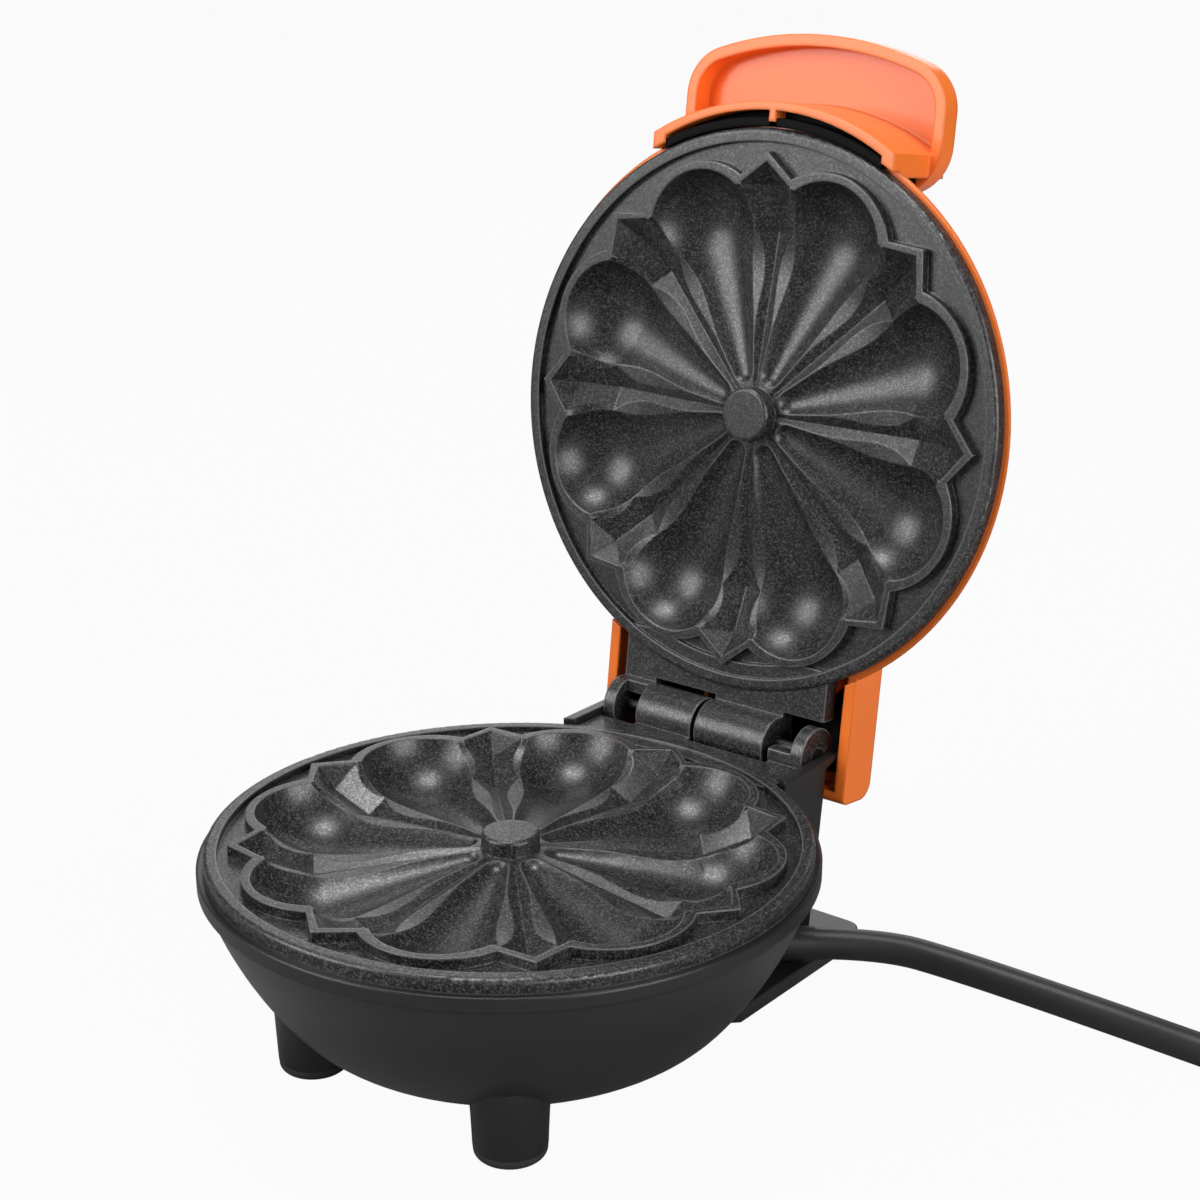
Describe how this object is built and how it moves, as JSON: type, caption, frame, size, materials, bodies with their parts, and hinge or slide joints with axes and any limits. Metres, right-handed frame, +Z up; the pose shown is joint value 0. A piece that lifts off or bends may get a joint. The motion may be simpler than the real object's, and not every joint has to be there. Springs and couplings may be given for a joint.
{
  "type": "mini cake maker",
  "caption": "Small round countertop cake maker standing open: flower moulds in both hinged halves, orange domed lid with a front handle, black bowl-shaped base on feet, mains cord and plug",
  "frame": {"origin": "centre of the footprint of the cake maker without its free cord, at table height", "axes": "+Z up, +X to the right of a person facing the handle, +Y from the handle side to the hinge"},
  "size_m": [0.2884, 0.2486, 0.2001],
  "materials": {
    "black_shell": "moulded black plastic, satin gloss",
    "orange_shell": "moulded orange plastic, high gloss",
    "non_stick": "cast aluminium with a black non-stick coating with fine light specks, satin",
    "steel": "plain steel, zinc plated",
    "foot_rubber": "black rubber, matt",
    "heater_tube": "aluminium tube with a dull grey skin",
    "ceramic": "off-white ceramic, matt",
    "reflector_sheet": "thin bright aluminium sheet",
    "thermostat_case": "dark brown moulded case, matt",
    "block_plastic": "white moulded plastic, matt",
    "cord_pvc": "black PVC, satin",
    "brass_pins": "nickel-plated brass, polished",
    "amber_lens": "translucent amber plastic, gloss",
    "lamp_glass": "small neon lamp glass",
    "sleeve_brown": "brown insulated wire",
    "sleeve_blue": "blue insulated wire",
    "sleeve_green": "green and yellow insulated wire",
    "sleeve_white": "white glass-fibre sleeve"
  },
  "bodies": {
    "base": {"base_shell": "black_shell", "lower_plate": "non_stick", "hinge_pin": "steel", "foot_pads": "foot_rubber", "base_screws": "steel", "lower_heater": "heater_tube", "lower_heater_beads": "ceramic", "lower_heater_studs": "steel", "lower_reflector": "reflector_sheet", "thermostat": "thermostat_case", "thermal_fuse": "sleeve_white", "terminal_block": "block_plastic", "cord_clamp": "block_plastic", "cord_clamp_screws": "steel", "cord_gland": "cord_pvc", "power_cord": "cord_pvc", "power_cord_coil": "cord_pvc", "power_cord_tail": "cord_pvc", "cord_tie": "cord_pvc", "plug_body": "cord_pvc", "plug_pins": "brass_pins", "wire_live": "sleeve_brown", "wire_fuse_link": "sleeve_white", "wire_neutral": "sleeve_blue", "wire_earth": "sleeve_green"},
    "lid": {"lid_shell": "orange_shell", "handle_liner": "black_shell", "tail_liner": "black_shell", "upper_plate": "non_stick", "lid_screws": "steel", "upper_heater": "heater_tube", "upper_heater_beads": "ceramic", "upper_heater_studs": "steel", "upper_reflector": "reflector_sheet", "indicator_lens": "amber_lens", "indicator_lamp": "lamp_glass", "wire_lid_live": "sleeve_brown", "wire_lid_neutral": "sleeve_blue"}
  },
  "joints": [
    {"name": "lid_hinge", "type": "hinge", "parent": "base", "child": "lid", "pos_m": [0, 0.0442, 0.049], "axis": [1, 0, 0], "range_deg": [0, 97]}
  ]
}
